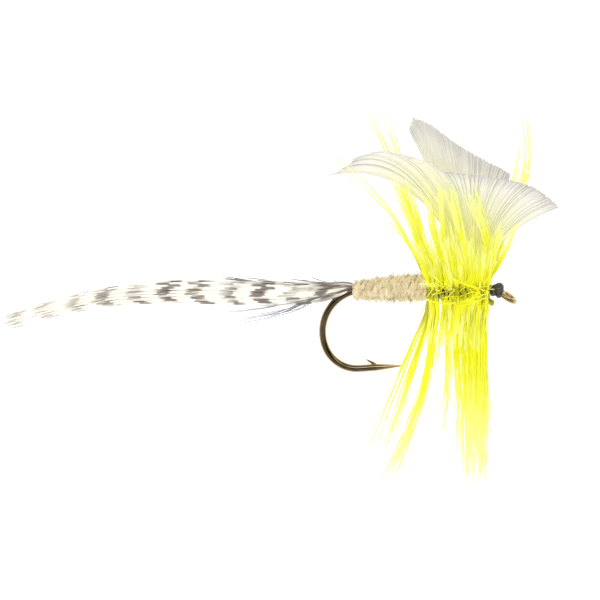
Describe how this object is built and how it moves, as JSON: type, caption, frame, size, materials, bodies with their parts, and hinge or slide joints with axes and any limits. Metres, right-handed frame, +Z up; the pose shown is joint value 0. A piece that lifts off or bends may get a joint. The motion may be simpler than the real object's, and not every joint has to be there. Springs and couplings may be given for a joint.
{
  "type": "dry fly",
  "caption": "Dry fishing fly on an eyed hook: long barred tail, dubbed body, parted feather wings, wound hackle and a varnished thread head.",
  "frame": {"origin": "centre of the hole in the hook's eye", "axes": "+X from tail to hook eye along the shank, +Z up with the wings, +Y towards the far side, across the hook's plane"},
  "size_m": [0.0395, 0.0217, 0.0275],
  "materials": {
    "hook_bronze": "bronzed high-carbon steel wire, polished",
    "thread_black": "waxed black tying thread, wound flat",
    "tail_barred": "cream flank feather barbs with dark grey-brown bars",
    "tail_slate": "soft slate-blue feather barbs",
    "fur": "beige underfur, spun on thread and wound",
    "wing_quill": "pale grey-white flight feather slips",
    "hackle_yellow": "dyed yellow cock hackle barbs",
    "hackle_stem": "dyed hackle quill, olive yellow",
    "head_lacquer": "clear head varnish over black thread"
  },
  "bodies": {
    "tied_hook": {"hook": "hook_bronze", "thread_base": "thread_black", "tail_butts": "tail_barred", "tail_tie_wraps": "thread_black", "underbody_wraps": "thread_black", "thorax_wraps": "thread_black", "dubbed_body": "fur", "wing_butts": "wing_quill", "wing_post_wraps": "thread_black", "rear_hackle_stem": "hackle_stem", "rear_hackle_barbs": "hackle_yellow", "front_hackle_stem": "hackle_stem", "front_hackle_barbs": "hackle_yellow", "hackle_stem_butts": "hackle_stem", "stray_hackle_barbs": "hackle_yellow", "head_wraps": "thread_black", "head_varnish": "head_lacquer"},
    "tail": {"tail_barred_barbs": "tail_barred", "tail_slate_barbs": "tail_slate"},
    "near_wing_slip": {"near_wing": "wing_quill"},
    "far_wing_slip": {"far_wing": "wing_quill"}
  },
  "joints": [
    {"name": "tail_flex", "type": "hinge", "parent": "tied_hook", "child": "tail", "pos_m": [-0.01054, 0, 0.00088], "axis": [0, 1, 0], "range_deg": [-3, 25], "stiffness_Nm_per_rad": 0.0000004},
    {"name": "near_wing_flex", "type": "hinge", "parent": "tied_hook", "child": "near_wing_slip", "pos_m": [-0.00236, 0, 0.00177], "axis": [0, 1, 0], "range_deg": [-18, 8], "stiffness_Nm_per_rad": 0.0000004},
    {"name": "far_wing_flex", "type": "hinge", "parent": "tied_hook", "child": "far_wing_slip", "pos_m": [-0.00236, 0, 0.00177], "axis": [0, 1, 0], "range_deg": [-18, 8], "stiffness_Nm_per_rad": 0.0000004}
  ]
}
